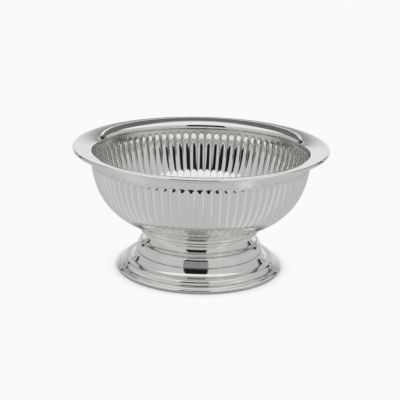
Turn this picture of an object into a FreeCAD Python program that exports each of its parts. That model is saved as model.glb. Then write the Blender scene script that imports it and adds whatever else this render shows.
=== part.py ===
# Footed punch bowl of silver-plated sheet metal, millimetres.
#
# The bowl and the foot stand on the Z axis. The foot rests on the plane z = 0, and +Z points up out of
# the bowl's mouth. Every piece but the bowl itself, the spring washer and the nut is a body of revolution.
# The bowl's wall carries a ring of equal upright flutes, which bulge outwards with sharp grooves between.

import FreeCAD
import Part
import math
import os

# ---- driving dimensions ------------------------------------------------------------------------

SHEET = 1.2                   # thickness of every spun piece

# Bowl wall. Its crest line is one cubic curve from the neck seam down to the waist.
NECK_R = 164.2                # crest radius carried up to the neck seam
NECK_Z = 176.0                # seam between the bowl wall and the rim flange
BELLY_R = 158.8               # first control point: sets how full the belly is
BELLY_Z = 73.9
HEEL_Z = 81.5                 # second control point: sets how flat the bowl's underside is
WAIST_R = 90.9                # radius of the plain waist that stands on the foot
SEAM_Z = 63.0                 # flat joint between bowl and foot
WAIST_BEND = 2.4              # outside radius of the bend from waist to flat bottom

# Flutes
FLUTES = 80
FLUTE_EDGE_DEG = 42.0         # slope of a lobe's round back where it meets a groove
GROOVE_ROUND = 0.4            # width of a groove's rounded bottom, as a share of the flutes' pitch
FLUTE_TOP_Z = 166.8           # the lobes' round upper ends
FLUTE_BOTTOM_R = 109.5        # the lobes' lower ends
TOP_END = 6.8                 # length of a lobe's domed upper end
BOTTOM_END = 7.0              # length of a lobe's domed lower end
FADE_START_R = 140.0          # below this radius the lobes get shallower
FADE_END_R = 101.0            # and here nothing is left of them
LEVEL_RUN = 20.0              # wall length over which the trimmed top edge turns level

# Rim flange with a wired edge
RIM_R = 190.0                 # overall radius
BEAD_R = 2.5                  # outside radius of the rolled edge
RIM_TOP_Z = 189.0             # overall height
NECK_BEND = 7.0               # bend from neck to flange, on the inside
NECK_STRAIGHT = 1.9           # upright strip between the seam and that bend
FLANGE_IN_DEG = 18.0          # slope of the flange where the neck bend ends
FLANGE_OUT_DEG = 5.0          # slope of the flange where it meets the bead
CURL_END_DEG = -170.0         # where the rolled edge ends, as an angle round the bead's centre
WIRE_GAP = 0.05               # clearance between a wire and the edge rolled round it

# Foot, upper piece: flat top, folded lip, waisted neck, ring moulding
LIP_R = 90.25
LIP_H = 3.3
LIP_CORNER = 0.8
NECK_TOP_BEND = 6.8           # hollow under the lip
THROAT_R = 78.6               # narrowest radius of the foot
NECK_LOW_BEND = 10.4          # hollow below the throat
NECK_LOW_END_DEG = 66.0
RING_START_R = 87.5           # where the ring moulding's round shoulder starts
RING_START_Z = 42.2
RING_BEND = 6.5
RING_START_DEG = 78.0
RING_END_DEG = 10.0
SKIRT_R = 94.9                # bottom of the upright skirt under the ring moulding
SKIRT_Z = 27.6

# Foot, lower piece: hollow sweep, step, ledge and wired edge
SPIGOT_H = 7.5                # collar that stands inside the upper piece's skirt
SPIGOT_GAP = 0.05
SWEEP_R = 95.0                # top of the hollow sweep
SWEEP_BEND = 22.5             # its gentle upper part
SWEEP_START_DEG = 13.0
SWEEP_TURN_DEG = 44.0         # slope angle at which the tighter lower part takes over
SWEEP_LOW_BEND = 4.5
SWEEP_END_DEG = 84.0
STEP_START_R = 111.8          # rounded shoulder of the step
STEP_BEND = 5.0
STEP_START_DEG = 60.0
STEP_END_DEG = 6.0
HOLLOW_BEND = 3.3             # hollow between the step and the ledge
HOLLOW_R = 117.85             # centre of that hollow's curve
HOLLOW_Z = 9.9
HOLLOW_END_DEG = 75.0
BASE_R = 124.8                # overall radius of the foot
BASE_BEAD_R = 3.3
BASE_BEAD_FLAT = 0.25         # how much of the bead is lapped away to make the flat it stands on
LEDGE_END_DEG = 78.0          # slope angle where the ledge runs into the bead

# Fastening under the bowl
DISC_R = 20.0                 # backing disc brazed under the bowl
DISC_H = 3.0
DISC_GAP = 0.3                # clearance round the disc in the foot's top
STUD_R = 4.0
STUD_BOTTOM_Z = 44.0
STUD_CHAMFER = 0.8
BORE_GAP = 0.3                # clearance round the stud in both washers
CUP_R = 30.0                  # cup washer: outer radius
CUP_SEAT_R = 23.0             # inner edge of its seat
CUP_FLAT_R = 18.0             # flat middle that the spring washer bears on
CUP_DEPTH = 3.5
CUP_SHEET = 1.5
SPRING_WASHER_R = 7.4
SPRING_WASHER_H = 2.0
SPRING_WASHER_SLIT = 1.6
NUT_ACROSS_FLATS = 13.0
NUT_H = 6.5
NUT_BORE_GAP = 0.02

# ---- derived sizes -----------------------------------------------------------------------------

PITCH_DEG = 360.0 / FLUTES
BEAD_CENTRE = (RIM_R - BEAD_R, RIM_TOP_Z - BEAD_R)
BASE_BEAD_CENTRE = (BASE_R - BASE_BEAD_R, BASE_BEAD_R - BASE_BEAD_FLAT)
LIP_BOTTOM_Z = SEAM_Z - LIP_H
FOOT_TOP_UNDER_Z = SEAM_Z - SHEET
CUP_TOP_Z = FOOT_TOP_UNDER_Z - CUP_DEPTH
CUP_UNDER_Z = CUP_TOP_Z - CUP_SHEET
NUT_TOP_Z = CUP_UNDER_Z - SPRING_WASHER_H


# ---- outline helpers ---------------------------------------------------------------------------

def point(radius, height, azimuth_deg=0.0):
    """A point given by its distance from the axis, its height and its azimuth."""
    azimuth = math.radians(azimuth_deg)
    return FreeCAD.Vector(radius * math.cos(azimuth), radius * math.sin(azimuth), height)


def on_circle(centre, radius, angle_deg):
    """(radius, height) of the point at an angle on a circle in the outline plane."""
    angle = math.radians(angle_deg)
    return (centre[0] + radius * math.cos(angle), centre[1] + radius * math.sin(angle))


def line(start, end):
    return Part.makeLine(point(*start), point(*end))


def arc(centre, radius, start_deg, end_deg):
    middle_deg = (start_deg + end_deg) / 2
    ends = [point(*on_circle(centre, radius, angle)) for angle in (start_deg, middle_deg, end_deg)]
    return Part.Arc(*ends).toShape()


def polygon(corners):
    """Straight edges from each corner to the next, left open."""
    return [line(a, b) for a, b in zip(corners, corners[1:])]


def spin(face):
    """Turn an outline once round the Z axis."""
    return face.revolve(FreeCAD.Vector(0, 0, 0), FreeCAD.Vector(0, 0, 1), 360)


def spun_sheet(outer_edges):
    """Sheet metal laid on the inner side of an open outline, turned round the axis."""
    section = Part.Wire(outer_edges).makeOffset2D(-SHEET, join=2, fill=True, openResult=True)
    return spin(section)


def solid_ring(corners):
    """Ring or disc with straight-sided section."""
    return spin(Part.Face(Part.Wire(polygon(corners + corners[:1]))))


def round_wire(centre, radius):
    """Round wire bent into a closed ring."""
    return Part.makeTorus(centre[0], radius, FreeCAD.Vector(0, 0, centre[1]))


# ---- bowl wall ---------------------------------------------------------------------------------

def crest(t):
    """Crest line of the wall: radius, height and their rates. The curve runs from the neck at t = 0 to
    the waist at t = 1, and goes on round the bend to the flat bottom at t = 2."""
    if t > 1.0:
        turn = math.radians(90.0 * (t - 1.0))
        place = on_circle((WAIST_R - WAIST_BEND, SEAM_Z + WAIST_BEND), WAIST_BEND, -math.degrees(turn))
        return place[0], place[1], -math.sin(turn), -math.cos(turn)
    controls = ((NECK_R, NECK_Z), (BELLY_R, BELLY_Z), (WAIST_R, HEEL_Z), (WAIST_R, SEAM_Z + WAIST_BEND))
    s = 1.0 - t
    weights = (s**3, 3 * s * s * t, 3 * s * t * t, t**3)
    rates = (-3 * s * s, 3 * s * s - 6 * s * t, 6 * s * t - 3 * t * t, 3 * t * t)
    place = [sum(w * c[i] for w, c in zip(weights, controls)) for i in (0, 1)]
    rate = [sum(w * c[i] for w, c in zip(rates, controls)) for i in (0, 1)]
    return place[0], place[1], rate[0], rate[1]


def find_t(test):
    """The t at which a test that is false at the neck becomes true."""
    low, high = 0.0, 1.0
    for _ in range(40):
        middle = (low + high) / 2
        if test(crest(middle)):
            high = middle
        else:
            low = middle
    return low


def wall_length(t, steps=200):
    """Length of the crest line from the neck to t."""
    marks = [crest(t * i / steps) for i in range(steps + 1)]
    return sum(math.dist(a[:2], b[:2]) for a, b in zip(marks, marks[1:]))


TOP_LENGTH = wall_length(find_t(lambda c: c[1] < FLUTE_TOP_Z))
BOTTOM_LENGTH = wall_length(find_t(lambda c: c[0] < FLUTE_BOTTOM_R))


def lobe_height(distance):
    """Height of a lobe's round back, 1 on its crest and 0 where it meets the ground with a rounded groove.
    The distance from the crest is 1 in the middle of the groove."""
    edge = math.sin(math.radians(FLUTE_EDGE_DEG))
    into_groove = min(1.0, max(0.0, (distance - 1.0 + GROOVE_ROUND) / GROOVE_ROUND))
    eased = min(distance, 1.0 - GROOVE_ROUND) + GROOVE_ROUND * (into_groove - into_groove**2 / 2)
    back = math.sqrt(1.0 - (eased * edge) ** 2)
    ground = math.sqrt(1.0 - ((1.0 - GROOVE_ROUND / 2) * edge) ** 2)
    return (back - ground) / (1.0 - ground)


def lobe_depth(radius):
    """Height of a lobe above the grooves beside it, in proportion to the flutes' pitch."""
    half_pitch = radius * math.radians(PITCH_DEG) / 2
    depth = half_pitch * math.tan(math.radians(FLUTE_EDGE_DEG) / 2)
    fade = (radius - FADE_END_R) / (FADE_START_R - FADE_END_R)
    fade = min(1.0, max(0.0, fade))
    return depth * fade * fade * (3.0 - 2.0 * fade)


def wall_point(t, across, inset):
    """A point on the wall. Across runs from -0.5 to 0.5 over one flute; inset is into the metal."""
    radius, height, dr, dz = crest(t)
    length = wall_length(t)
    above = 1.0 - (length - TOP_LENGTH) / TOP_END
    below = 1.0 - (BOTTOM_LENGTH - length) / BOTTOM_END
    distance = math.hypot(2.0 * across, max(0.0, above), max(0.0, below))
    depth = lobe_depth(radius) * (1.0 - lobe_height(distance)) + inset
    tilt = math.atan2(dr, -dz) * min(1.0, length / LEVEL_RUN)
    return point(radius - depth * math.cos(tilt), height - depth * math.sin(tilt), across * PITCH_DEG)


def wall_rows():
    """Values of t for the cross-sections of one flute, closer together at its ends and at the bend."""
    top = find_t(lambda c: c[1] < FLUTE_TOP_Z)
    bottom = find_t(lambda c: c[0] < FLUTE_BOTTOM_R)
    top_end = find_t(lambda c: c[1] < FLUTE_TOP_Z - TOP_END)
    bottom_end = find_t(lambda c: c[0] < FLUTE_BOTTOM_R + BOTTOM_END)

    def spread(start, end, count):
        return [start + (end - start) * i / count for i in range(count)]

    return (spread(0.0, top, 4) + spread(top, top_end, 6) + spread(top_end, bottom_end, 12)
            + spread(bottom_end, bottom, 6) + spread(bottom, 1.0, 6) + spread(1.0, 2.0, 6) + [2.0])


def spline_knots(count):
    """Evenly spaced knots and their multiplicities for a cubic spline with a number of poles."""
    knots = list(range(count - 2))
    return knots, [4] + [1] * (len(knots) - 2) + [4]


def wall_patch(inset):
    """One flute of the wall's outer or inner skin, from groove to groove and round the waist's bend. The points
    are the poles of a cubic spline surface, which follows them closely and never swings past them."""
    columns = [i / 8.0 - 0.5 for i in range(9)]
    poles = [[wall_point(t, across, inset) for across in columns] for t in wall_rows()]
    row_knots, row_mults = spline_knots(len(poles))
    column_knots, column_mults = spline_knots(len(columns))
    surface = Part.BSplineSurface()
    surface.buildFromPolesMultsKnots(poles, row_mults, column_mults, row_knots, column_knots, False, False, 3, 3)
    return surface.toShape()


def all_round(patch):
    """Copies of one flute's patch, one for each flute."""
    copies = []
    for i in range(FLUTES):
        copy = patch.copy()
        copy.rotate(FreeCAD.Vector(0, 0, 0), FreeCAD.Vector(0, 0, 1), i * PITCH_DEG)
        copies.append(copy)
    return copies


def end_loop(patches, choose):
    """Closed loop of the patches' highest or lowest edges."""
    return Part.Wire([choose(patch.Edges, key=lambda edge: edge.CenterOfMass.z) for patch in patches])


def bowl_shell():
    """Fluted wall, waist and flat bottom in one sheet."""
    outer = all_round(wall_patch(0.0))
    inner = all_round(wall_patch(SHEET))
    top_edge = Part.makeFace([end_loop(outer, max), end_loop(inner, max)], "Part::FaceMakerBullseye")
    under = Part.Face(end_loop(outer, min))
    floor = Part.Face(end_loop(inner, min))
    skin = Part.Compound(outer + inner + [top_edge, under, floor])
    skin.sewShape()
    return Part.Solid(skin.Shells[0])


# ---- rim ---------------------------------------------------------------------------------------

def rim_flange():
    """Turned-out rim: neck, bend, gently crowned flange and an edge rolled round a wire."""
    neck_r = NECK_R - lobe_depth(NECK_R) - SHEET
    bend_centre = (neck_r + NECK_BEND, NECK_Z + NECK_STRAIGHT)
    bend_end_deg = 90.0 + FLANGE_IN_DEG
    flange_start = on_circle(bend_centre, NECK_BEND, bend_end_deg)
    bead_deg = 90.0 + FLANGE_OUT_DEG
    flange_end = on_circle(BEAD_CENTRE, BEAD_R, bead_deg)
    crown = math.radians(FLANGE_IN_DEG + FLANGE_OUT_DEG) / 2
    span = math.dist(flange_start, flange_end)
    crown_r = span / 2 / math.sin(math.radians(FLANGE_IN_DEG - FLANGE_OUT_DEG) / 2)
    middle = ((flange_start[0] + flange_end[0]) / 2, (flange_start[1] + flange_end[1]) / 2)
    rise = crown_r * (1.0 - math.cos(math.radians(FLANGE_IN_DEG - FLANGE_OUT_DEG) / 2))
    crown_top = (middle[0] - rise * math.sin(crown), middle[1] + rise * math.cos(crown))
    edges = [
        line((neck_r, NECK_Z), (neck_r, NECK_Z + NECK_STRAIGHT)),
        arc(bend_centre, NECK_BEND, 180.0, bend_end_deg),
        Part.Arc(point(*flange_start), point(*crown_top), point(*flange_end)).toShape(),
        arc(BEAD_CENTRE, BEAD_R, bead_deg, CURL_END_DEG),
    ]
    return spun_sheet(edges)


def rim_wire():
    return round_wire(BEAD_CENTRE, BEAD_R - SHEET - WIRE_GAP)


# ---- foot --------------------------------------------------------------------------------------

def foot_neck():
    """Upper piece of the foot: flat top with a folded lip, waisted neck, ring moulding and skirt."""
    throat_z = LIP_BOTTOM_Z - NECK_TOP_BEND
    upper_centre = (THROAT_R + NECK_TOP_BEND, throat_z)
    lower_centre = (THROAT_R + NECK_LOW_BEND, throat_z)
    neck_end_deg = 180.0 + NECK_LOW_END_DEG
    neck_end = on_circle(lower_centre, NECK_LOW_BEND, neck_end_deg)
    ring_start = (RING_START_R, RING_START_Z)
    ring_centre = on_circle(ring_start, -RING_BEND, RING_START_DEG)
    ring_end = on_circle(ring_centre, RING_BEND, RING_END_DEG)
    neck_edges = [
        arc(upper_centre, NECK_TOP_BEND, 90.0, 180.0),
        arc(lower_centre, NECK_LOW_BEND, 180.0, neck_end_deg),
        line(neck_end, ring_start),
        arc(ring_centre, RING_BEND, RING_START_DEG, RING_END_DEG),
        line(ring_end, (SKIRT_R, SKIRT_Z)),
    ]
    neck = spun_sheet(neck_edges)
    lip_inner_r = THROAT_R + NECK_TOP_BEND
    lip_edges = [
        line((lip_inner_r, LIP_BOTTOM_Z), (LIP_R - LIP_CORNER, LIP_BOTTOM_Z)),
        arc((LIP_R - LIP_CORNER, LIP_BOTTOM_Z + LIP_CORNER), LIP_CORNER, -90.0, 0.0),
        line((LIP_R, LIP_BOTTOM_Z + LIP_CORNER), (LIP_R, SEAM_Z - LIP_CORNER)),
        arc((LIP_R - LIP_CORNER, SEAM_Z - LIP_CORNER), LIP_CORNER, 0.0, 90.0),
    ] + polygon([
        (LIP_R - LIP_CORNER, SEAM_Z),
        (DISC_R + DISC_GAP, SEAM_Z),
        (DISC_R + DISC_GAP, FOOT_TOP_UNDER_Z),
        (lip_inner_r, FOOT_TOP_UNDER_Z),
        (lip_inner_r, LIP_BOTTOM_Z),
    ])
    top = spin(Part.Face(Part.Wire(lip_edges)))
    below_skirt = Part.makeCylinder(SKIRT_R + SHEET, SHEET, FreeCAD.Vector(0, 0, SKIRT_Z - SHEET))
    return neck.cut(below_skirt).fuse(top).removeSplitter()


def foot_base():
    """Lower piece of the foot: spigot, hollow sweep, step, ledge and wired edge with a lapped flat."""
    skirt_start = foot_skirt_start()
    lean = math.atan2(SKIRT_R - skirt_start[0], skirt_start[1] - SKIRT_Z)
    spigot_low = (SKIRT_R - (SHEET + SPIGOT_GAP) / math.cos(lean), SKIRT_Z)
    spigot_top = (spigot_low[0] - SPIGOT_H * math.tan(lean), SKIRT_Z + SPIGOT_H)
    sweep_centre = on_circle((SWEEP_R, SKIRT_Z), SWEEP_BEND, SWEEP_START_DEG)
    low_centre = on_circle(sweep_centre, SWEEP_BEND - SWEEP_LOW_BEND, 180.0 + SWEEP_TURN_DEG)
    sweep_end = on_circle(low_centre, SWEEP_LOW_BEND, 180.0 + SWEEP_END_DEG)
    step_start = (STEP_START_R, sweep_end[1])
    step_centre = on_circle(step_start, -STEP_BEND, STEP_START_DEG)
    step_end = on_circle(step_centre, STEP_BEND, STEP_END_DEG)
    hollow_centre = (HOLLOW_R, HOLLOW_Z)
    hollow_start = on_circle(hollow_centre, HOLLOW_BEND, 180.0 + STEP_END_DEG)
    hollow_end = on_circle(hollow_centre, HOLLOW_BEND, 180.0 + HOLLOW_END_DEG)
    ledge_end = on_circle(BASE_BEAD_CENTRE, BASE_BEAD_R, LEDGE_END_DEG)
    edges = [
        line(spigot_top, spigot_low),
        line(spigot_low, (SWEEP_R, SKIRT_Z)),
        arc(sweep_centre, SWEEP_BEND, 180.0 + SWEEP_START_DEG, 180.0 + SWEEP_TURN_DEG),
        arc(low_centre, SWEEP_LOW_BEND, 180.0 + SWEEP_TURN_DEG, 180.0 + SWEEP_END_DEG),
        line(sweep_end, step_start),
        arc(step_centre, STEP_BEND, STEP_START_DEG, STEP_END_DEG),
        line(step_end, hollow_start),
        arc(hollow_centre, HOLLOW_BEND, 180.0 + STEP_END_DEG, 180.0 + HOLLOW_END_DEG),
        line(hollow_end, ledge_end),
        arc(BASE_BEAD_CENTRE, BASE_BEAD_R, LEDGE_END_DEG, CURL_END_DEG),
    ]
    lapped = Part.makeCylinder(BASE_R + SHEET, SHEET, FreeCAD.Vector(0, 0, -SHEET))
    return spun_sheet(edges).cut(lapped)


def foot_skirt_start():
    """Where the ring moulding's round shoulder runs out into the skirt."""
    ring_centre = on_circle((RING_START_R, RING_START_Z), -RING_BEND, RING_START_DEG)
    return on_circle(ring_centre, RING_BEND, RING_END_DEG)


def foot_edge_wire():
    return round_wire(BASE_BEAD_CENTRE, BASE_BEAD_R - SHEET - WIRE_GAP)


# ---- fastening ---------------------------------------------------------------------------------

def backing_disc():
    """Disc brazed under the bowl; the stud is brazed into its middle."""
    low = SEAM_Z - DISC_H
    return solid_ring([(STUD_R, low), (DISC_R, low), (DISC_R, SEAM_Z), (STUD_R, SEAM_Z)])


def threaded_stud():
    """Stud, drawn at its thread's outside diameter."""
    return solid_ring([
        (0.0, STUD_BOTTOM_Z),
        (STUD_R - STUD_CHAMFER, STUD_BOTTOM_Z),
        (STUD_R, STUD_BOTTOM_Z + STUD_CHAMFER),
        (STUD_R, SEAM_Z),
        (0.0, SEAM_Z),
    ])


def clamp_washer():
    """Cup washer: its seat presses up on the foot's flat top, clear of the backing disc."""
    bore = STUD_R + BORE_GAP
    seat_under = FOOT_TOP_UNDER_Z - CUP_SHEET
    return solid_ring([
        (bore, CUP_UNDER_Z),
        (CUP_FLAT_R, CUP_UNDER_Z),
        (CUP_SEAT_R + CUP_SHEET, seat_under),
        (CUP_R, seat_under),
        (CUP_R, FOOT_TOP_UNDER_Z),
        (CUP_SEAT_R, FOOT_TOP_UNDER_Z),
        (CUP_FLAT_R - CUP_SHEET, CUP_TOP_Z),
        (bore, CUP_TOP_Z),
    ])


def spring_washer():
    """Split washer under the nut."""
    bore = STUD_R + BORE_GAP
    ring = solid_ring([
        (bore, NUT_TOP_Z),
        (SPRING_WASHER_R, NUT_TOP_Z),
        (SPRING_WASHER_R, CUP_UNDER_Z),
        (bore, CUP_UNDER_Z),
    ])
    slit = Part.makeBox(2 * SPRING_WASHER_R, SPRING_WASHER_SLIT, 2 * SPRING_WASHER_H,
                        FreeCAD.Vector(0, -SPRING_WASHER_SLIT / 2, NUT_TOP_Z - SPRING_WASHER_H / 2))
    return ring.cut(slit)


def hex_nut():
    """Hexagon nut with chamfered corners."""
    corner_r = NUT_ACROSS_FLATS / 2 / math.cos(math.radians(30))
    low = NUT_TOP_Z - NUT_H
    corners = [point(corner_r, low, 60.0 * i) for i in range(7)]
    prism = Part.Face(Part.makePolygon(corners)).extrude(FreeCAD.Vector(0, 0, NUT_H))
    chamfer = corner_r - NUT_ACROSS_FLATS / 2
    turned = solid_ring([
        (0.0, low),
        (NUT_ACROSS_FLATS / 2, low),
        (corner_r, low + chamfer / 2),
        (corner_r, NUT_TOP_Z - chamfer / 2),
        (NUT_ACROSS_FLATS / 2, NUT_TOP_Z),
        (0.0, NUT_TOP_Z),
    ])
    bore = Part.makeCylinder(STUD_R + NUT_BORE_GAP, 2 * NUT_H, FreeCAD.Vector(0, 0, low - NUT_H / 2))
    return prism.common(turned).cut(bore)


# ---- write the pieces --------------------------------------------------------------------------

PIECES = {
    "bowl_shell": bowl_shell,
    "rim_flange": rim_flange,
    "rim_wire": rim_wire,
    "foot_neck": foot_neck,
    "foot_base": foot_base,
    "foot_edge_wire": foot_edge_wire,
    "backing_disc": backing_disc,
    "threaded_stud": threaded_stud,
    "clamp_washer": clamp_washer,
    "spring_washer": spring_washer,
    "hex_nut": hex_nut,
}

os.makedirs("parts", exist_ok=True)
for name, build in PIECES.items():
    piece = build()
    piece.exportStep(f"parts/{name}.step")
    print(name, piece.ShapeType, "valid" if piece.isValid() else "NOT VALID", len(piece.Solids), "solid",
          round(piece.Volume / 1000, 2), "cm3")
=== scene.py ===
import math

import bpy
import numpy as np
from mathutils import Matrix, Vector


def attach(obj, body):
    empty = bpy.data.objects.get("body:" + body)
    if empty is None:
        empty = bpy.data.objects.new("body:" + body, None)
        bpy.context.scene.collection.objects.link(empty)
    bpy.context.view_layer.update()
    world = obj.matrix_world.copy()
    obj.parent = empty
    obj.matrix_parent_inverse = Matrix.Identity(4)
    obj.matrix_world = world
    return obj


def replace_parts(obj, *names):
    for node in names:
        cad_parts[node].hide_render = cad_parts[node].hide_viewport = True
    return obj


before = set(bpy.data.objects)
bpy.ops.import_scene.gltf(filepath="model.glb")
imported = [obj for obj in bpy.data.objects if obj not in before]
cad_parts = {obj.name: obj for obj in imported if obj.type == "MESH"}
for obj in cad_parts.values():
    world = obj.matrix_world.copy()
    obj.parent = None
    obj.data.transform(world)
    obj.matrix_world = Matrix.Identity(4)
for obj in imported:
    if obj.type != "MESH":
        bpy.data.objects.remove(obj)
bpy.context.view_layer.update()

# Visual model of a footed, silver-plated punch bowl. Sizes are millimetres and meshes are built in metres.
# The bowl stands on z = 0 with its axis on Z, and the camera looks along +Y.

MM = 0.001

# ---- sizes shared with the CAD ------------------------------------------------------------------

SHEET = 1.2                   # thickness of every spun piece

NECK_R = 164.2                # crest radius of the wall carried up to the seam with the rim
NECK_Z = 176.0                # height of that seam
BELLY = (158.8, 73.9)         # control point of the wall's crest line
HEEL_Z = 81.5                 # height of the other control point
WAIST_R = 90.9
WAIST_BEND = 2.4
SEAM_Z = 63.0                 # joint between bowl and foot

FLUTES = 80
FLUTE_EDGE_DEG = 42.0         # slope of a lobe's round back where it meets a groove
FLUTE_TOP_Z = 166.8
TOP_END = 6.8                 # lengths of the lobes' domed ends
BOTTOM_END = 7.0
FADE_START_R = 140.0          # where the lobes begin to get lower toward the waist
LEVEL_RUN = 20.0              # over this length the lobes' direction turns from level to square with the wall

RIM_R = 190.0
RIM_TOP_Z = 189.0
BEAD_R = 2.5
NECK_BEND = 7.0
NECK_STRAIGHT = 1.9
FLANGE_IN_DEG = 18.0
FLANGE_OUT_DEG = 5.0
CURL_END_DEG = -170.0

LIP_R = 90.25
LIP_H = 3.3
LIP_CORNER = 0.8
NECK_TOP_BEND = 6.8
THROAT_R = 78.6
NECK_LOW_BEND = 10.4
NECK_LOW_END_DEG = 66.0
RING_START = (87.5, 42.2)
RING_BEND = 6.5
RING_START_DEG = 78.0
RING_END_DEG = 10.0
SKIRT = (94.9, 27.6)
DISC_HOLE_R = 20.3

SPIGOT_H = 7.5
SPIGOT_GAP = 0.05
SWEEP_R = 95.0
SWEEP_BEND = 22.5
SWEEP_START_DEG = 13.0
SWEEP_TURN_DEG = 44.0
SWEEP_LOW_BEND = 4.5
SWEEP_END_DEG = 84.0
STEP_START_R = 111.8
STEP_BEND = 5.0
STEP_START_DEG = 60.0
STEP_END_DEG = 6.0
HOLLOW_BEND = 3.3
HOLLOW_CENTRE = (117.85, 9.9)
HOLLOW_END_DEG = 75.0
BASE_R = 124.8
BASE_BEAD_R = 3.3
BASE_BEAD_FLAT = 0.25
LEDGE_END_DEG = 78.0

STUD_R = 4.0
STUD_BOTTOM_Z = 44.0
STUD_CHAMFER = 0.8

# ---- details only the visual model has ----------------------------------------------------------

FLUTE_BOTTOM_R = 96.0         # the flutes run further down here than in the CAD
FADE_END_R = 90.0             # where a flute's height would fade to nothing
GROOVE_ROUND = 0.12           # width of a groove's rounded bottom, as a share of the flutes' pitch
RIDGE_ROUND = 0.14            # the same for the ridges between the flutes on the inner side
INNER_EDGE_DEG = 26.0         # slope of a flute's inner side where it meets a ridge
INNER_TOP_RISE = 2.5          # the flutes reach this much higher on the inner side
INNER_TOP_END = 13.0          # and end more gently there
SEAM_CHAMFER = 0.5            # chamfers that make a fine groove along the seam of bowl and rim
OUTER_SHADE_AND_TARNISH = 0.35             # painted shade and tarnish in the outer grooves, where polishing reaches, against the inner ones
THREAD_PITCH = 1.25
THREAD_DEPTH = 0.7
CREASE_REACH = 0.7            # how far painted shade and tarnish spread from a crease

# ---- fineness of the meshes ---------------------------------------------------------------------

FLUTE_COLUMNS = 16            # columns of faces over one flute
CREST_SAMPLES = 2001          # points on the wall's crest line, from which the rows are picked
BAND_ROWS = 6                 # rows of the plain band, a flute's end, its middle, and the waist
END_ROWS = 20
MIDDLE_ROWS = 64
WAIST_ROWS = 24
FLOOR_SHARES = (0.985, 0.8, 0.5, 0.2, 0.03)  # rings of the flat bottom, as shares of its radius
ROUND_SEGMENTS = 480          # faces round a spun piece
STUD_SEGMENTS = 64
STUD_ROW = 0.125
ARC_STEP_DEG = 3.0
LONGEST_STEP = 1.4            # longest face along an outline
SHARP_DEG = 50.0              # steeper folds than this stay crisp

# ---- derived sizes ------------------------------------------------------------------------------

PITCH_DEG = 360.0 / FLUTES
BEAD_CENTRE = (RIM_R - BEAD_R, RIM_TOP_Z - BEAD_R)
BASE_BEAD_CENTRE = (BASE_R - BASE_BEAD_R, BASE_BEAD_R - BASE_BEAD_FLAT)
LIP_BOTTOM_Z = SEAM_Z - LIP_H


# ---- outlines -----------------------------------------------------------------------------------

def on_circle(centre, radius, angle_deg):
    """(radius, height) of a point on a circle in the outline plane."""
    angle = math.radians(angle_deg)
    return (centre[0] + radius * math.cos(angle), centre[1] + radius * math.sin(angle))


def arc(centre, radius, start_deg, end_deg):
    """Points along an arc, both ends included."""
    turn = abs(end_deg - start_deg)
    count = math.ceil(max(turn / ARC_STEP_DEG, math.radians(turn) * radius / LONGEST_STEP))
    step = (end_deg - start_deg) / count
    return [on_circle(centre, radius, start_deg + step * i) for i in range(count + 1)]


def line(start, end):
    """Points along a straight line, both ends included."""
    count = max(3, math.ceil(math.dist(start, end) / LONGEST_STEP))
    return [tuple(a + (b - a) * i / count for a, b in zip(start, end)) for i in range(count + 1)]


def joined(*runs):
    """Runs of points one after the other, without the doubled points between them."""
    points = [runs[0][0]]
    for run in runs:
        points += [p for p in run if math.dist(p, points[-1]) > 1e-6]
    return points


def inner_side(outer):
    """The outline moved by one sheet thickness to the right of its direction, with mitred corners."""
    path = np.array(outer)
    steps = np.diff(path, axis=0)
    steps /= np.linalg.norm(steps, axis=1)[:, None]
    after = np.vstack([steps, steps[-1:]])
    middle = np.vstack([steps[:1], steps]) + after
    middle /= np.linalg.norm(middle, axis=1)[:, None]
    reach = SHEET / np.sum(middle * after, axis=1)
    to_right = np.stack([middle[:, 1], -middle[:, 0]], axis=1)
    return [tuple(p) for p in path + to_right * reach[:, None]]


# ---- meshes -------------------------------------------------------------------------------------

def new_piece(name, points, faces, tarnish_and_shade, materials, material_of_face):
    """A smooth mesh with crisp folds that rides the CAD's body. Painted crease shade and tarnish run from 0
    to 1 at each point.
    """
    mesh = bpy.data.meshes.new(name)
    mesh.from_pydata(points * MM, [], faces)
    mesh.polygons.foreach_set("use_smooth", np.ones(len(faces), bool))
    mesh.polygons.foreach_set("material_index", material_of_face)
    mesh.set_sharp_from_angle(angle=math.radians(SHARP_DEG))
    layer = mesh.attributes.new("tarnish_and_shade", "FLOAT", "POINT")
    layer.data.foreach_set("value", tarnish_and_shade.astype(np.float32))
    for material in materials:
        mesh.materials.append(material)
    mesh.update()
    piece = bpy.data.objects.new(name, mesh)
    bpy.context.scene.collection.objects.link(piece)
    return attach(piece, "root")


def ring_faces(rows, columns, closed):
    """Faces of a grid of points whose rows run round the axis. Closed joins the last row to the first."""
    row = np.arange(rows if closed else rows - 1)[:, None]
    column = np.arange(columns)[None, :]
    next_row = (row + 1) % rows
    next_column = (column + 1) % columns
    corners = [(row, column), (next_row, column), (next_row, next_column), (row, next_column)]
    return np.stack([r * columns + c for r, c in corners], axis=2).reshape(-1, 4).tolist()


def end_fans(rows, columns):
    """Triangles from the grid's first and last rows to the two axis points that follow it."""
    first_pole = rows * columns
    last_row = (rows - 1) * columns
    around = [(c, (c + 1) % columns) for c in range(columns)]
    first = [(first_pole, a, b) for a, b in around]
    last = [(first_pole + 1, last_row + b, last_row + a) for a, b in around]
    return first + last


def crease_shade_and_tarnish(section, creases):
    """Painted shade and tarnish at each outline point: 1 in a crease, fading out over about a millimetre."""
    distances = [np.linalg.norm(section - np.array(crease), axis=1) for crease in creases]
    return np.exp(-(np.min(distances, axis=0) / CREASE_REACH) ** 2)


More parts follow.
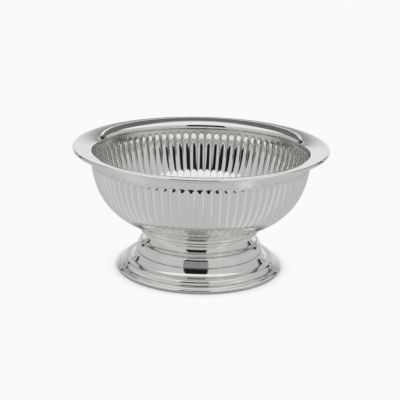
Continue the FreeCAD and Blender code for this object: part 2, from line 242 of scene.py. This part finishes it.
def spun(name, outer, inner, creases, materials):
    """Piece turned from a closed section. The first material is on the outer run of points, the second on the
    inner run, and creases are the (radius, height) places where painted shade and tarnish gather."""
    section = np.array(joined(outer, inner))
    angle = np.linspace(0.0, 2.0 * math.pi, ROUND_SEGMENTS, endpoint=False)
    radius = section[:, 0:1]
    height = np.broadcast_to(section[:, 1:2], (len(section), ROUND_SEGMENTS))
    points = np.stack([radius * np.cos(angle), radius * np.sin(angle), height], axis=2)
    row = np.arange(len(section))
    return new_piece(
        name,
        points.reshape(-1, 3),
        ring_faces(len(section), ROUND_SEGMENTS, closed=True),
        np.repeat(crease_shade_and_tarnish(section, creases), ROUND_SEGMENTS),
        materials,
        np.repeat(row >= len(outer) - 1, ROUND_SEGMENTS).astype(np.int32),
    )


# ---- bowl shell ---------------------------------------------------------------------------------

def crest_line():
    """Radius, height, tilt and length so far along the wall's crest line, from the neck down to the waist.
    Tilt is the angle in radians by which the wall's outer side faces down."""
    neck, belly = np.array((NECK_R, NECK_Z)), np.array(BELLY)
    heel, waist = np.array((WAIST_R, HEEL_Z)), np.array((WAIST_R, SEAM_Z + WAIST_BEND))
    t = np.linspace(0.0, 1.0, CREST_SAMPLES)[:, None]
    s = 1.0 - t
    place = s**3 * neck + 3 * s * s * t * belly + 3 * s * t * t * heel + t**3 * waist
    rate = np.gradient(place, axis=0)
    steps = np.linalg.norm(np.diff(place, axis=0), axis=1)
    length = np.concatenate([[0.0], np.cumsum(steps)])
    return place[:, 0], place[:, 1], np.arctan2(-rate[:, 0], -rate[:, 1]), length


def lobe_height(distance, rounding, edge_deg):
    """Height of a lobe's round back: 1 on its crest, 0 where it meets the ground with a rounded groove."""
    into_groove = np.clip((distance - 1.0 + rounding) / rounding, 0.0, 1.0)
    eased = np.minimum(distance, 1.0 - rounding) + rounding * (into_groove - into_groove**2 / 2.0)
    edge = math.radians(edge_deg)
    back = np.sqrt(1.0 - (eased * math.sin(edge)) ** 2)
    ground = math.sqrt(1.0 - ((1.0 - rounding / 2.0) * math.sin(edge)) ** 2)
    return (back - ground) / (1.0 - ground)


def end_fall(into_end):
    """Share of a lobe's height left along its domed end: 1 where the end begins, 0 at its tip."""
    share = np.minimum(1.0, into_end)
    return 1.0 - share**2 * (3.0 - 2.0 * share)


def lobe_depth(radius, edge_deg=FLUTE_EDGE_DEG):
    """Height of a lobe above the grooves beside it, in proportion to the flutes' pitch."""
    half_pitch = radius * math.radians(PITCH_DEG) / 2.0
    fade = np.clip((radius - FADE_END_R) / (FADE_START_R - FADE_END_R), 0.0, 1.0)
    return half_pitch * math.tan(math.radians(edge_deg) / 2.0) * fade**2 * (3.0 - 2.0 * fade)


def flute_columns():
    """Place across its flute, from -0.5 to 0.5, and azimuth of each column of points round the wall."""
    step = np.linspace(-1.0, 1.0, FLUTE_COLUMNS, endpoint=False)
    across = np.tile(0.5 * np.sin(step * math.pi / 2.0), FLUTES)
    azimuth = np.radians(PITCH_DEG) * (np.repeat(np.arange(FLUTES), FLUTE_COLUMNS) + across)
    return across, azimuth


def wall_skin(inset, rounding, edge_deg, top_rise, top_end):
    """Rows of points over the fluted wall's outer or inner skin, from the neck down, and their painted groove
    shade and tarnish.
    """
    radius, height, tilt, length = crest_line()
    top = np.interp(-(FLUTE_TOP_Z + top_rise), -height, length)
    bottom = np.interp(-FLUTE_BOTTOM_R, -radius, length)
    marks = np.concatenate([
        [0.0],
        np.linspace(SEAM_CHAMFER, top, BAND_ROWS, endpoint=False),
        np.linspace(top, top + top_end, END_ROWS, endpoint=False),
        np.linspace(top + top_end, bottom - BOTTOM_END, MIDDLE_ROWS, endpoint=False),
        np.linspace(bottom - BOTTOM_END, bottom, END_ROWS, endpoint=False),
        np.linspace(bottom, length[-1], WAIST_ROWS),
    ])[:, None]
    radius, height, tilt = (np.interp(marks, length, values) for values in (radius, height, tilt))
    tilt = tilt * np.minimum(1.0, marks / LEVEL_RUN)

    across, azimuth = flute_columns()
    above = np.maximum(0.0, 1.0 - (marks - top) / top_end)
    below = np.maximum(0.0, 1.0 - (bottom - marks) / BOTTOM_END)
    distance = np.sqrt((2.0 * across) ** 2 + above**2 + below**2)

    lift = lobe_height(np.abs(2.0 * across), rounding, edge_deg) * end_fall(above) * end_fall(below)
    depth = lobe_depth(radius) - lobe_depth(radius, edge_deg) * lift + inset
    reach = radius - depth * np.cos(tilt)
    level = height - depth * np.sin(tilt)
    points = np.stack([reach * np.cos(azimuth), reach * np.sin(azimuth), level], axis=2)
    # Painted shade and tarnish gather along each flute's outline, less where the flutes are shallow.
    fluted = lobe_depth(radius) / lobe_depth(NECK_R)
    shade_and_tarnish_mask = np.exp(-((distance - 1.0) * FLUTE_COLUMNS) ** 2) * fluted
    return points, shade_and_tarnish_mask


def round_rows(outline):
    """Rows of points round the axis through an outline, spaced like the wall's columns."""
    azimuth = flute_columns()[1]
    outline = np.array(outline)
    radius = outline[:, 0:1]
    height = np.broadcast_to(outline[:, 1:2], (len(outline), len(azimuth)))
    return np.stack([radius * np.cos(azimuth), radius * np.sin(azimuth), height], axis=2)


def bottom_outline(inset):
    """Bend from the waist into the flat bottom, and the bottom to near the axis, on one side of the sheet."""
    centre = (WAIST_R - WAIST_BEND, SEAM_Z + WAIST_BEND)
    bend = arc(centre, WAIST_BEND - inset, 0.0, -90.0)[1:]
    edge_r, level = bend[-1]
    return bend + [(edge_r * share, level) for share in FLOOR_SHARES]


def bowl_shell(material):
    """Fluted wall, waist and flat bottom as one closed sheet, chamfered inside along the rim's seam."""
    outer, outer_shade_and_tarnish = wall_skin(0.0, GROOVE_ROUND, FLUTE_EDGE_DEG, 0.0, TOP_END)
    inner, inner_shade_and_tarnish = wall_skin(SHEET, RIDGE_ROUND, INNER_EDGE_DEG, INNER_TOP_RISE, INNER_TOP_END)
    neck_r = NECK_R - lobe_depth(NECK_R) - SHEET
    inner[0, :, :2] *= (neck_r + SEAM_CHAMFER) / neck_r
    # Full painted shade and tarnish on the chamfered seam rows, which draws a dark line along the seam.
    inner_shade_and_tarnish[:2] = 1.0
    under = round_rows(bottom_outline(0.0))
    floor = round_rows(bottom_outline(SHEET))
    rows = np.concatenate([under[::-1], outer[::-1], inner, floor])
    count, columns = rows.shape[:2]
    poles = np.array([(0.0, 0.0, SEAM_Z), (0.0, 0.0, SEAM_Z + SHEET)])
    points = np.concatenate([rows.reshape(-1, 3), poles])
    shade_and_tarnish_mask = np.concatenate([
        np.zeros(len(under) * columns),
        OUTER_SHADE_AND_TARNISH * outer_shade_and_tarnish[::-1].ravel(),
        inner_shade_and_tarnish.ravel(),
        np.zeros(len(floor) * columns + len(poles)),
    ])
    faces = ring_faces(count, columns, closed=False) + end_fans(count, columns)
    piece = new_piece("silver_bowl", points, faces, shade_and_tarnish_mask, [material], np.zeros(len(faces), np.int32))
    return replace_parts(piece, "bowl_shell")


# ---- rim ----------------------------------------------------------------------------------------

def crown(start, end, turn_deg):
    """Points along a gentle arc that bulges to the left of its direction and turns by an angle."""
    half = math.radians(turn_deg) / 2.0
    span = math.dist(start, end)
    across = (-(end[1] - start[1]) / span, (end[0] - start[0]) / span)
    to_centre = span / 2.0 / math.tan(half)
    centre = tuple((a + b) / 2.0 - to_centre * c for a, b, c in zip(start, end, across))
    first_deg = math.degrees(math.atan2(start[1] - centre[1], start[0] - centre[0]))
    return arc(centre, span / 2.0 / math.sin(half), first_deg, first_deg - turn_deg)


def rim_flange(bright, dull):
    """Turned-out rim with its edge rolled round the wire, chamfered inside along the seam with the bowl."""
    neck_r = NECK_R - lobe_depth(NECK_R) - SHEET
    bend_centre = (neck_r + NECK_BEND, NECK_Z + NECK_STRAIGHT)
    bend_end_deg = 90.0 + FLANGE_IN_DEG
    bead_deg = 90.0 + FLANGE_OUT_DEG
    flange_start = on_circle(bend_centre, NECK_BEND, bend_end_deg)
    flange_end = on_circle(BEAD_CENTRE, BEAD_R, bead_deg)
    neck_end = (neck_r, NECK_Z + NECK_STRAIGHT)
    flange = joined(
        arc(bend_centre, NECK_BEND, 180.0, bend_end_deg),
        crown(flange_start, flange_end, FLANGE_IN_DEG - FLANGE_OUT_DEG),
        arc(BEAD_CENTRE, BEAD_R, bead_deg, CURL_END_DEG),
    )
    chamfer = [(neck_r + SEAM_CHAMFER, NECK_Z), (neck_r, NECK_Z + SEAM_CHAMFER)]
    upper = joined(chamfer, line(chamfer[-1], neck_end), flange)
    under = inner_side(joined(line((neck_r, NECK_Z), neck_end), flange))
    # Painted shade and tarnish gather in these creases.
    creases = [chamfer[0], (neck_r + SHEET, NECK_Z)]
    piece = spun("silver_rim", upper, under[::-1], creases, [bright, dull])
    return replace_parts(piece, "rim_flange")


# ---- foot ---------------------------------------------------------------------------------------

def ring_moulding():
    """Points round the ring moulding's shoulder, from its crease down to the skirt."""
    centre = on_circle(RING_START, -RING_BEND, RING_START_DEG)
    return arc(centre, RING_BEND, RING_START_DEG, RING_END_DEG)


def foot_neck(bright, dull):
    """Upper piece of the foot: flat top with a folded lip, waisted neck, ring moulding and skirt."""
    throat_z = LIP_BOTTOM_Z - NECK_TOP_BEND
    upper_centre = (THROAT_R + NECK_TOP_BEND, throat_z)
    lower_centre = (THROAT_R + NECK_LOW_BEND, throat_z)
    neck_end_deg = 180.0 + NECK_LOW_END_DEG
    neck = joined(
        arc(upper_centre, NECK_TOP_BEND, 90.0, 180.0),
        arc(lower_centre, NECK_LOW_BEND, 180.0, neck_end_deg),
        line(on_circle(lower_centre, NECK_LOW_BEND, neck_end_deg), RING_START),
        ring_moulding(),
        line(ring_moulding()[-1], SKIRT),
    )
    lip_low = (LIP_R - LIP_CORNER, LIP_BOTTOM_Z + LIP_CORNER)
    lip_high = (LIP_R - LIP_CORNER, SEAM_Z - LIP_CORNER)
    outer = joined(
        line((DISC_HOLE_R, SEAM_Z), (LIP_R - LIP_CORNER, SEAM_Z)),
        arc(lip_high, LIP_CORNER, 90.0, 0.0),
        arc(lip_low, LIP_CORNER, 0.0, -90.0),
        neck,
    )
    lip_inner_r = THROAT_R + NECK_TOP_BEND
    inner = joined(
        inner_side(neck)[::-1],
        line((lip_inner_r, LIP_BOTTOM_Z + SHEET), (lip_inner_r, SEAM_Z - SHEET)),
        line((lip_inner_r, SEAM_Z - SHEET), (DISC_HOLE_R, SEAM_Z - SHEET)),
    )
    inner = [(radius, max(SKIRT[1], height)) for radius, height in inner]
    # Painted shade and tarnish gather in these creases.
    creases = [(lip_inner_r, LIP_BOTTOM_Z), RING_START, (SKIRT[0] + SPIGOT_GAP, SKIRT[1])]
    piece = spun("silver_foot_neck", outer, inner, creases, [bright, dull])
    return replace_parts(piece, "foot_neck")


def foot_base(bright, dull):
    """Lower piece of the foot: spigot, hollow sweep, step, ledge and wired edge with a lapped flat."""
    ring_end = ring_moulding()[-1]
    lean = math.atan2(SKIRT[0] - ring_end[0], ring_end[1] - SKIRT[1])
    spigot_low = (SKIRT[0] - (SHEET + SPIGOT_GAP) / math.cos(lean), SKIRT[1])
    spigot_top = (spigot_low[0] - SPIGOT_H * math.tan(lean), SKIRT[1] + SPIGOT_H)
    high_centre = on_circle((SWEEP_R, SKIRT[1]), SWEEP_BEND, SWEEP_START_DEG)
    high = arc(high_centre, SWEEP_BEND, 180.0 + SWEEP_START_DEG, 180.0 + SWEEP_TURN_DEG)
    low_centre = on_circle(high[-1], SWEEP_LOW_BEND, SWEEP_TURN_DEG)
    low = arc(low_centre, SWEEP_LOW_BEND, 180.0 + SWEEP_TURN_DEG, 180.0 + SWEEP_END_DEG)
    sweep = joined(high, low)
    step_start = (STEP_START_R, sweep[-1][1])
    step_centre = on_circle(step_start, -STEP_BEND, STEP_START_DEG)
    step = arc(step_centre, STEP_BEND, STEP_START_DEG, STEP_END_DEG)
    hollow = arc(HOLLOW_CENTRE, HOLLOW_BEND, 180.0 + STEP_END_DEG, 180.0 + HOLLOW_END_DEG)
    ledge_end = on_circle(BASE_BEAD_CENTRE, BASE_BEAD_R, LEDGE_END_DEG)
    outer = joined(
        line(spigot_top, spigot_low),
        line(spigot_low, (SWEEP_R, SKIRT[1])),
        sweep,
        line(sweep[-1], step_start),
        step,
        line(step[-1], hollow[0]),
        hollow,
        line(hollow[-1], ledge_end),
        arc(BASE_BEAD_CENTRE, BASE_BEAD_R, LEDGE_END_DEG, CURL_END_DEG),
    )
    inner = inner_side(outer)[::-1]
    outer = [(radius, max(0.0, height)) for radius, height in outer]
    # Painted shade and tarnish gather in these creases.
    creases = [(SWEEP_R, SKIRT[1]), hollow[len(hollow) // 2]]
    piece = spun("silver_foot_base", outer, inner, creases, [bright, dull])
    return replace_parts(piece, "foot_base")


def threaded_stud(material):
    """Stud with a real screw thread."""
    angle = np.linspace(0.0, 2.0 * math.pi, STUD_SEGMENTS, endpoint=False)[None, :]
    height = np.arange(STUD_BOTTOM_Z, SEAM_Z + STUD_ROW / 2.0, STUD_ROW)[:, None]
    phase = (height / THREAD_PITCH - angle / (2.0 * math.pi)) % 1.0
    thread = STUD_R - THREAD_DEPTH * np.abs(2.0 * phase - 1.0)
    chamfered = STUD_R - STUD_CHAMFER + (height - STUD_BOTTOM_Z)
    radius = np.minimum(thread, chamfered)
    rows = np.stack([radius * np.cos(angle), radius * np.sin(angle), height + 0.0 * angle], axis=2)
    count, columns = rows.shape[:2]
    poles = np.array([(0.0, 0.0, STUD_BOTTOM_Z), (0.0, 0.0, height[-1, 0])])
    points = np.concatenate([rows.reshape(-1, 3), poles])
    faces = ring_faces(count, columns, closed=False) + end_fans(count, columns)
    shade_and_tarnish_mask = np.zeros(len(points))
    piece = new_piece("screw_stud", points, faces, shade_and_tarnish_mask, [material], np.zeros(len(faces), np.int32))
    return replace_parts(piece, "threaded_stud")


# ---- shader helpers -----------------------------------------------------------------------------

def feed(tree, socket, value):
    """Link an output to a socket, or set the socket to a plain value."""
    if isinstance(value, bpy.types.NodeSocket):
        tree.links.new(value, socket)
    else:
        socket.default_value = value


def node(tree, kind, inputs=None, **settings):
    """New shader node with its settings, and values or links for its inputs by name or number."""
    made = tree.nodes.new(kind)
    for key, value in settings.items():
        setattr(made, key, value)
    for key, value in (inputs or {}).items():
        feed(tree, made.inputs[key], value)
    return made


def maths(tree, operation, first, second=0.0):
    return node(tree, "ShaderNodeMath", {0: first, 1: second}, operation=operation).outputs[0]


def ramp(tree, value, start, end, low=0.0, high=1.0):
    """Smooth step from low at start to high at end."""
    inputs = {"Value": value, "From Min": start, "From Max": end, "To Min": low, "To Max": high}
    return node(tree, "ShaderNodeMapRange", inputs, interpolation_type="SMOOTHSTEP").outputs["Result"]


def blend(tree, share, first, second):
    """First where share is 0, second where it is 1."""
    inputs = {"Value": share, "To Min": first, "To Max": second}
    return node(tree, "ShaderNodeMapRange", inputs).outputs["Result"]


def window(tree, value, low, high, soft):
    """1 between low and high and 0 outside, with soft edges."""
    rise = ramp(tree, value, low - soft, low + soft)
    fall = ramp(tree, value, high - soft, high + soft, 1.0, 0.0)
    return maths(tree, "MULTIPLY", rise, fall)


def noise(tree, vector, scale, detail=2.0):
    inputs = {"Vector": vector, "Scale": scale, "Detail": detail}
    return node(tree, "ShaderNodeTexNoise", inputs).outputs["Fac"]


def new_tree(owner):
    owner.use_nodes = True
    owner.node_tree.nodes.clear()
    return owner.node_tree


# ---- materials ----------------------------------------------------------------------------------

def around_axis(tree, turns, rings):
    """Coordinates that run round the axis and across it, for marks left by spinning and polishing."""
    place = node(tree, "ShaderNodeTexCoord").outputs["Object"]
    xyz = node(tree, "ShaderNodeSeparateXYZ", {0: place}).outputs
    angle = maths(tree, "ARCTAN2", xyz[1], xyz[0])
    flat = node(tree, "ShaderNodeCombineXYZ", {0: xyz[0], 1: xyz[1]}).outputs[0]
    radius = node(tree, "ShaderNodeVectorMath", {0: flat}, operation="LENGTH").outputs["Value"]
    inputs = {
        0: maths(tree, "MULTIPLY", maths(tree, "SINE", angle), turns),
        1: maths(tree, "MULTIPLY", radius, rings),
        2: maths(tree, "MULTIPLY", xyz[2], rings),
    }
    return node(tree, "ShaderNodeCombineXYZ", inputs).outputs[0]


CLOUD_SCALE = 22.0            # cloudy change of gloss, in patches per metre
CLOUD_SHARE = 0.3             # and how far it changes the roughness, as a share
MARKS_SHARE = 0.4             # roughness that polishing marks add, as a share
TARNISH_AND_SHADE_SCALE = 90.0          # patches of painted crease shade and tarnish, per metre
TARNISH_AND_SHADE_LEAST = 0.55          # painted shade and tarnish left between the patches
TARNISH_AND_SHADE_TINT = 0.85           # colour and roughness that full painted shade and tarnish give
TARNISH_ROUGH = 0.25
MARKS_DEPTH = 0.0002


def metal(name, colour, roughness, tarnish_and_shade_colour, scratch_bump, turns, rings):
    """Metal with polishing marks, a cloudy change of gloss, and painted shade with tarnish in its creases."""
    material = bpy.data.materials.new(name)
    tree = new_tree(material)
    place = node(tree, "ShaderNodeTexCoord").outputs["Object"]
    marks = noise(tree, around_axis(tree, turns, rings), 1.0, 4.0)
    cloud = noise(tree, place, CLOUD_SCALE, 3.0)
    shade_and_tarnish_mask = node(tree, "ShaderNodeAttribute", attribute_name="tarnish_and_shade").outputs["Fac"]
    patches = ramp(tree, noise(tree, place, TARNISH_AND_SHADE_SCALE), 0.3, 0.6, TARNISH_AND_SHADE_LEAST, 1.0)
    tarnish_and_shade = maths(tree, "MULTIPLY", shade_and_tarnish_mask, patches)

    # Colour darkened toward the tarnish colour by the mask: painted crease shade and tarnish.
    tint = node(tree, "ShaderNodeMix", data_type="RGBA")
    feed(tree, tint.inputs[0], maths(tree, "MULTIPLY", tarnish_and_shade, TARNISH_AND_SHADE_TINT))
    feed(tree, tint.inputs[6], (*colour, 1.0))
    feed(tree, tint.inputs[7], (*tarnish_and_shade_colour, 1.0))
    clouded = blend(tree, cloud, (1.0 - CLOUD_SHARE) * roughness, (1.0 + CLOUD_SHARE) * roughness)
    marked = maths(tree, "MULTIPLY", marks, MARKS_SHARE * roughness)
    dulled = maths(tree, "MULTIPLY", tarnish_and_shade, TARNISH_ROUGH)
    gloss = maths(tree, "ADD", maths(tree, "ADD", clouded, marked), dulled)
    bump = node(tree, "ShaderNodeBump", {"Strength": scratch_bump, "Distance": MARKS_DEPTH, "Height": marks})
    surface = node(tree, "ShaderNodeBsdfPrincipled", {
        "Base Color": tint.outputs[2],
        "Metallic": 1.0,
        "Roughness": gloss,
        "Normal": bump.outputs[0],
    })
    node(tree, "ShaderNodeOutputMaterial", {"Surface": surface.outputs[0]})
    return material


# ---- studio -------------------------------------------------------------------------------------

# Directions are seen from the bowl: azimuth in degrees from the camera's side, positive to the right, and
# elevation in degrees above level. Lights are emission strengths.

BACKDROP = 0.955              # what the camera sees of the pale floor and backdrop
FLOOR_LIGHT = 0.54            # what the silver sees of the floor
FLOOR_SIZE = 6.0
FRONT_LIGHT = 0.56            # paler walls beside the camera
SIDE_LIGHT = 0.50             # grey walls beside the panel
FRONT_END_DEG = 60.0          # azimuths between which the paler walls turn into the grey ones
SIDE_START_DEG = 90.0
SKY_LIGHT = 0.90              # above the walls
CEILING_LIGHT = 0.9           # over the camera
TOP_LIGHT = 0.85              # straight above
WALL_TOP_DEG = 43.0           # height of the walls

PANEL_HALF_WIDTH = 0.95       # white panel behind the object, at unit distance
PANEL_HEIGHT = 0.53
PANEL_CORNER = 3.0            # power of the curve that rounds its corners
PANEL_LIGHT = 0.78            # in its middle, near its edge, and on the thin line along its edge
PANEL_RIM_LIGHT = 0.30
PANEL_EDGE_LIGHT = 1.2
SHADE_LIGHT = 0.13            # shaded wall just beside the panel
SHADE_END = (1.5, 1.7)        # how far the shade reaches, left and right, where 1 is the panel's outline
DARK_LIGHT = (0.012, 0.03)    # dark frame round the panel, left and right
DARK_END = (1.17, 1.28)
STRIP_LIGHT = 0.14            # shaded strip over the panel
STRIP_LOW_DEG = 27.0

GAP_LIGHT = 0.012             # dark opening round the camera
GAP_LEFT_DEG = -27.0
GAP_RIGHT_DEG = 17.0
GAP_TOP_DEG = 45.0
SILL_LIGHT = 0.27             # low grey screen under that opening, in metres
SILL_DISTANCE = 1.4
SILL_LEFT = -0.665
SILL_RIGHT = 0.399
SILL_TOP = 0.223

SHADOW_REACH = 0.02           # contact shadow on the floor
SHADOW_START_R = 0.12         # the floor that the silver mirrors is darker near the foot
SHADOW_END_R = 0.15
FLOOR_BASE = 0.97
LEFT_GLOW = (-1.35, -0.85, 0.2, 0.16)   # brighter parts of the floor that the silver mirrors: first and last
RIGHT_GLOW = (0.6, 0.85, 0.12, 0.28)    # azimuth and softness in radians, and added share of light


def slopes(tree, xyz):
    """Sideways and upward slope of a direction that points away from the camera."""
    ahead = maths(tree, "MAXIMUM", xyz[1], 0.001)
    sideways = maths(tree, "DIVIDE", maths(tree, "ABSOLUTE", xyz[0]), ahead)
    upward = maths(tree, "DIVIDE", maths(tree, "MAXIMUM", xyz[2], 0.0), ahead)
    return sideways, upward


def panel_distance(tree, xyz):
    """1 on the outline of the round-cornered panel behind the object, less inside it and more outside."""
    powers = [
        maths(tree, "POWER", maths(tree, "DIVIDE", slope, size), PANEL_CORNER)
        for slope, size in zip(slopes(tree, xyz), (PANEL_HALF_WIDTH, PANEL_HEIGHT))
    ]
    return maths(tree, "POWER", maths(tree, "ADD", *powers), 1.0 / PANEL_CORNER)


def frame_light(tree, light, xyz, distance):
    """Walls with a dark frame round the panel, which fades into a shade and then into the walls."""
    right = ramp(tree, xyz[0], -0.25, 0.25)
    dark_end = blend(tree, right, *DARK_END)
    dark_fade = maths(tree, "ADD", dark_end, 0.04)
    shade_end = blend(tree, right, *SHADE_END)
    light = blend(tree, ramp(tree, distance, dark_fade, shade_end), SHADE_LIGHT, light)
    return blend(tree, ramp(tree, distance, dark_end, dark_fade), blend(tree, right, *DARK_LIGHT), light)


def strip_light(tree, light, xyz, elevation):
    """Walls with the shaded strip over the panel."""
    high_enough = window(tree, elevation, STRIP_LOW_DEG, WALL_TOP_DEG, 1.0)
    central = ramp(tree, slopes(tree, xyz)[0], 0.95, 0.75)
    behind = ramp(tree, xyz[1], 0.2, 0.4)
    strip = maths(tree, "MULTIPLY", maths(tree, "MULTIPLY", high_enough, central), behind)
    return blend(tree, strip, light, STRIP_LIGHT)


def panel_light(tree, light, distance):
    """Walls with the panel on them: it darkens toward its edge and has a thin bright line along it."""
    panel = ramp(tree, distance, 0.45, 0.92, PANEL_LIGHT, PANEL_RIM_LIGHT)
    panel = blend(tree, ramp(tree, distance, 0.955, 0.97), panel, PANEL_EDGE_LIGHT)
    return blend(tree, ramp(tree, distance, 0.99, 1.02), panel, light)


def overhead_light(tree, light, elevation, toward_camera):
    """Walls with the ceiling over the camera and the light straight above."""
    high = ramp(tree, elevation, WALL_TOP_DEG, WALL_TOP_DEG + 4.0)
    ceiling = maths(tree, "MULTIPLY", high, ramp(tree, toward_camera, -0.25, -0.1))
    light = blend(tree, ceiling, light, CEILING_LIGHT)
    return blend(tree, ramp(tree, elevation, 50.0, 62.0), light, TOP_LIGHT)


def studio_light():
    """Soft tent drawn by direction: walls, panel, sky, ceiling and a dark opening round the camera."""
    world = bpy.data.worlds.new("studio")
    bpy.context.scene.world = world
    tree = new_tree(world)
    direction = node(tree, "ShaderNodeTexCoord").outputs["Generated"]
    xyz = node(tree, "ShaderNodeSeparateXYZ", {0: direction}).outputs
    elevation = maths(tree, "DEGREES", maths(tree, "ARCSINE", xyz[2]))
    toward_camera = maths(tree, "MULTIPLY", xyz[1], -1.0)
    azimuth = maths(tree, "DEGREES", maths(tree, "ARCTAN2", xyz[0], toward_camera))
    turned = maths(tree, "ABSOLUTE", azimuth)
    distance = panel_distance(tree, xyz)

    light = ramp(tree, turned, FRONT_END_DEG, SIDE_START_DEG, FRONT_LIGHT, SIDE_LIGHT)
    light = frame_light(tree, light, xyz, distance)
    light = strip_light(tree, light, xyz, elevation)
    light = blend(tree, ramp(tree, elevation, WALL_TOP_DEG, WALL_TOP_DEG + 6.0), light, SKY_LIGHT)
    light = panel_light(tree, light, distance)
    light = overhead_light(tree, light, elevation, toward_camera)
    gap_across = window(tree, azimuth, GAP_LEFT_DEG, GAP_RIGHT_DEG, 1.0)
    gap_up = window(tree, elevation, -1.0, GAP_TOP_DEG, 1.5)
    light = blend(tree, maths(tree, "MULTIPLY", gap_across, gap_up), light, GAP_LIGHT)
    light = blend(tree, ramp(tree, elevation, -1.0, 1.0), FLOOR_LIGHT, light)

    seen = node(tree, "ShaderNodeLightPath").outputs["Is Camera Ray"]
    strength = blend(tree, seen, light, BACKDROP)
    background = node(tree, "ShaderNodeBackground", {"Color": (1.0, 1.0, 1.0, 1.0), "Strength": strength})
    node(tree, "ShaderNodeOutputWorld", {"Surface": background.outputs[0]})


def mirrored_floor(tree, place):
    """Light of the floor as the silver mirrors it: darker near the foot, with two brighter parts."""
    xyz = node(tree, "ShaderNodeSeparateXYZ", {0: place}).outputs
    azimuth = maths(tree, "ARCTAN2", xyz[0], maths(tree, "MULTIPLY", xyz[1], -1.0))
    glows = [
        maths(tree, "MULTIPLY", window(tree, azimuth, first, last, soft), added)
        for first, last, soft, added in (LEFT_GLOW, RIGHT_GLOW)
    ]
    radius = node(tree, "ShaderNodeVectorMath", {0: place}, operation="LENGTH").outputs["Value"]
    even = ramp(tree, radius, SHADOW_START_R, SHADOW_END_R, 0.5 * FLOOR_LIGHT, FLOOR_LIGHT)
    return maths(tree, "MULTIPLY", even, maths(tree, "ADD", FLOOR_BASE, maths(tree, "ADD", *glows)))


def floor_material():
    """Pale floor with a tight contact shadow. From underneath it isn't seen, so that the foot is."""
    material = bpy.data.materials.new("pale_floor")
    tree = new_tree(material)
    place = node(tree, "ShaderNodeTexCoord").outputs["Object"]
    speckle = ramp(tree, noise(tree, place, 60.0), 0.2, 0.8, 0.995, 1.0)
    open_sky = node(tree, "ShaderNodeAmbientOcclusion", {"Distance": SHADOW_REACH}, samples=8).outputs["AO"]
    shaded = maths(tree, "MULTIPLY", maths(tree, "MULTIPLY", open_sky, speckle), BACKDROP)
    seen = node(tree, "ShaderNodeLightPath").outputs["Is Camera Ray"]
    strength = blend(tree, seen, mirrored_floor(tree, place), shaded)
    glow = node(tree, "ShaderNodeEmission", {"Color": (1.0, 1.0, 1.0, 1.0), "Strength": strength})
    clear = node(tree, "ShaderNodeBsdfTransparent")
    underneath = node(tree, "ShaderNodeNewGeometry").outputs["Backfacing"]
    surface = node(tree, "ShaderNodeMixShader", {0: underneath, 1: glow.outputs[0], 2: clear.outputs[0]})
    node(tree, "ShaderNodeOutputMaterial", {"Surface": surface.outputs[0]})
    return material


def sill_material():
    """Grey screen with a slight cloudiness."""
    material = bpy.data.materials.new("grey_screen")
    tree = new_tree(material)
    place = node(tree, "ShaderNodeTexCoord").outputs["Object"]
    strength = ramp(tree, noise(tree, place, 4.0), 0.2, 0.8, 0.92 * SILL_LIGHT, 1.08 * SILL_LIGHT)
    glow = node(tree, "ShaderNodeEmission", {"Color": (1.0, 1.0, 1.0, 1.0), "Strength": strength})
    node(tree, "ShaderNodeOutputMaterial", {"Surface": glow.outputs[0]})
    return material


def staged_rectangle(name, corners, material):
    """Rectangle in metres that belongs to the studio and not to the object."""
    mesh = bpy.data.meshes.new(name)
    mesh.from_pydata(corners, [], [(0, 1, 2, 3)])
    mesh.materials.append(material)
    rectangle = bpy.data.objects.new(name, mesh)
    bpy.context.scene.collection.objects.link(rectangle)


def floor():
    half = FLOOR_SIZE / 2.0
    corners = [(-half, -half, 0.0), (half, -half, 0.0), (half, half, 0.0), (-half, half, 0.0)]
    staged_rectangle("floor", corners, floor_material())


def sill():
    """Low screen between the object and the camera, below the camera's view, which the silver mirrors."""
    outline = [(SILL_LEFT, SILL_TOP), (SILL_RIGHT, SILL_TOP), (SILL_RIGHT, 0.0), (SILL_LEFT, 0.0)]
    staged_rectangle("sill", [(x, -SILL_DISTANCE, z) for x, z in outline], sill_material())


# ---- camera -------------------------------------------------------------------------------------

CAMERA_PLACE = (0.0, -1.549, 0.578)
CAMERA_TARGET = (0.0, 0.0, 0.1026)
CAMERA_LENS = 96.6
CAMERA_ROLL_DEG = 1.22


def add_camera():
    data = bpy.data.cameras.new("camera")
    data.lens = CAMERA_LENS
    camera = bpy.data.objects.new("camera", data)
    bpy.context.scene.collection.objects.link(camera)
    place = Vector(CAMERA_PLACE)
    aim = (Vector(CAMERA_TARGET) - place).to_track_quat("-Z", "Y").to_matrix()
    roll = Matrix.Rotation(math.radians(CAMERA_ROLL_DEG), 3, "Z")
    camera.matrix_world = Matrix.Translation(place) @ (aim @ roll).to_4x4()
    bpy.context.scene.camera = camera


# ---- scene --------------------------------------------------------------------------------------

def build():
    silver = metal("silver_plate", colour=(0.93, 0.925, 0.905), roughness=0.05,
                   tarnish_and_shade_colour=(0.16, 0.14, 0.12), scratch_bump=0.02, turns=6.0, rings=5000.0)
    spun_silver = metal("spun_silver", colour=(0.80, 0.79, 0.76), roughness=0.22,
                        tarnish_and_shade_colour=(0.12, 0.10, 0.08), scratch_bump=0.35, turns=3.0, rings=3000.0)
    brass = metal("turned_brass", colour=(0.74, 0.60, 0.35), roughness=0.30,
                  tarnish_and_shade_colour=(0.20, 0.15, 0.08), scratch_bump=0.3, turns=4.0, rings=4000.0)
    steel = metal("zinc_steel", colour=(0.60, 0.60, 0.60), roughness=0.32,
                  tarnish_and_shade_colour=(0.2, 0.2, 0.2), scratch_bump=0.3, turns=40.0, rings=1500.0)

    for piece in (bowl_shell(silver), rim_flange(silver, spun_silver), foot_neck(silver, spun_silver),
                  foot_base(silver, spun_silver)):
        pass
    threaded_stud(steel)

    finishes = {
        "rim_wire": brass,
        "foot_edge_wire": brass,
        "backing_disc": brass,
        "clamp_washer": brass,
        "spring_washer": steel,
        "hex_nut": steel,
    }
    for name, material in finishes.items():
        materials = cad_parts[name].data.materials
        materials.clear()
        materials.append(material)

    floor()
    sill()
    studio_light()
    add_camera()
    bpy.context.scene.view_settings.view_transform = "Standard"


build()
